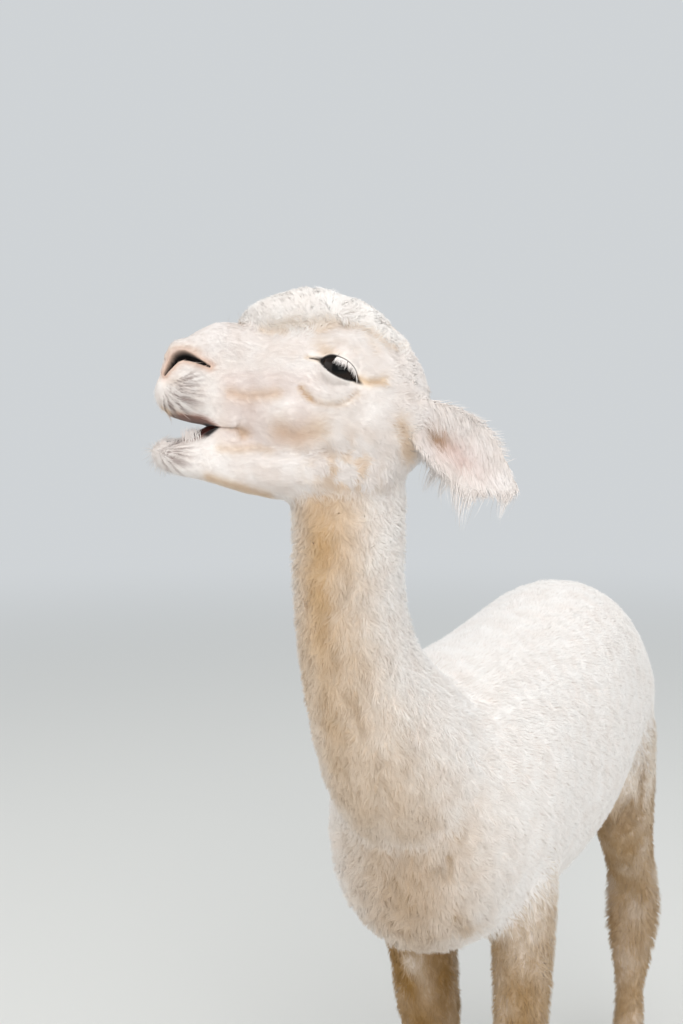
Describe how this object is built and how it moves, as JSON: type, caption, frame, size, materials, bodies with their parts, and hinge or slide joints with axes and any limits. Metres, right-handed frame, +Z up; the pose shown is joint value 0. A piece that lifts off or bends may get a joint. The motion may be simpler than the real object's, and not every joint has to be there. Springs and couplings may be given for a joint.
{
  "type": "alpaca",
  "caption": "Shorn white alpaca standing life-size and still, head raised and turned to its right, mouth slightly open, one foreleg set back.",
  "frame": {"origin": "on the floor, under the middle of the whole animal's box", "axes": "+Z up, the body faces -Y, the animal's left side is +X"},
  "size_m": [0.3326, 1.0712, 1.2689],
  "materials": {
    "fleece": "soft matt, short white fleece",
    "stained_fleece": "soft matt, crimped fleece with tan staining",
    "leg_wool": "matt, tan and dirty, clumped wool",
    "face_hair": "short smooth white hair",
    "ear_hair": "long fine white hair over pink skin",
    "eyeball": "wet, very glossy, near black",
    "toenail": "dull dark horn",
    "tongue": "moist, dark pink"
  },
  "bodies": {
    "root": {"ear_left": "ear_hair", "ear_right": "ear_hair", "eye_left": "eyeball", "eye_right": "eyeball", "forefoot_left": "leg_wool", "forefoot_right": "leg_wool", "foreleg_left": "leg_wool", "foreleg_right": "leg_wool", "forenail_left_inner": "toenail", "forenail_left_outer": "toenail", "forenail_right_inner": "toenail", "forenail_right_outer": "toenail", "head": "face_hair", "hindfoot_left": "leg_wool", "hindfoot_right": "leg_wool", "hindleg_left": "leg_wool", "hindleg_right": "leg_wool", "hindnail_left_inner": "toenail", "hindnail_left_outer": "toenail", "hindnail_right_inner": "toenail", "hindnail_right_outer": "toenail", "lower_jaw": "face_hair", "neck": "stained_fleece", "tail": "fleece", "tongue": "tongue", "topknot": "fleece", "trunk": "fleece"}
  },
  "joints": []
}
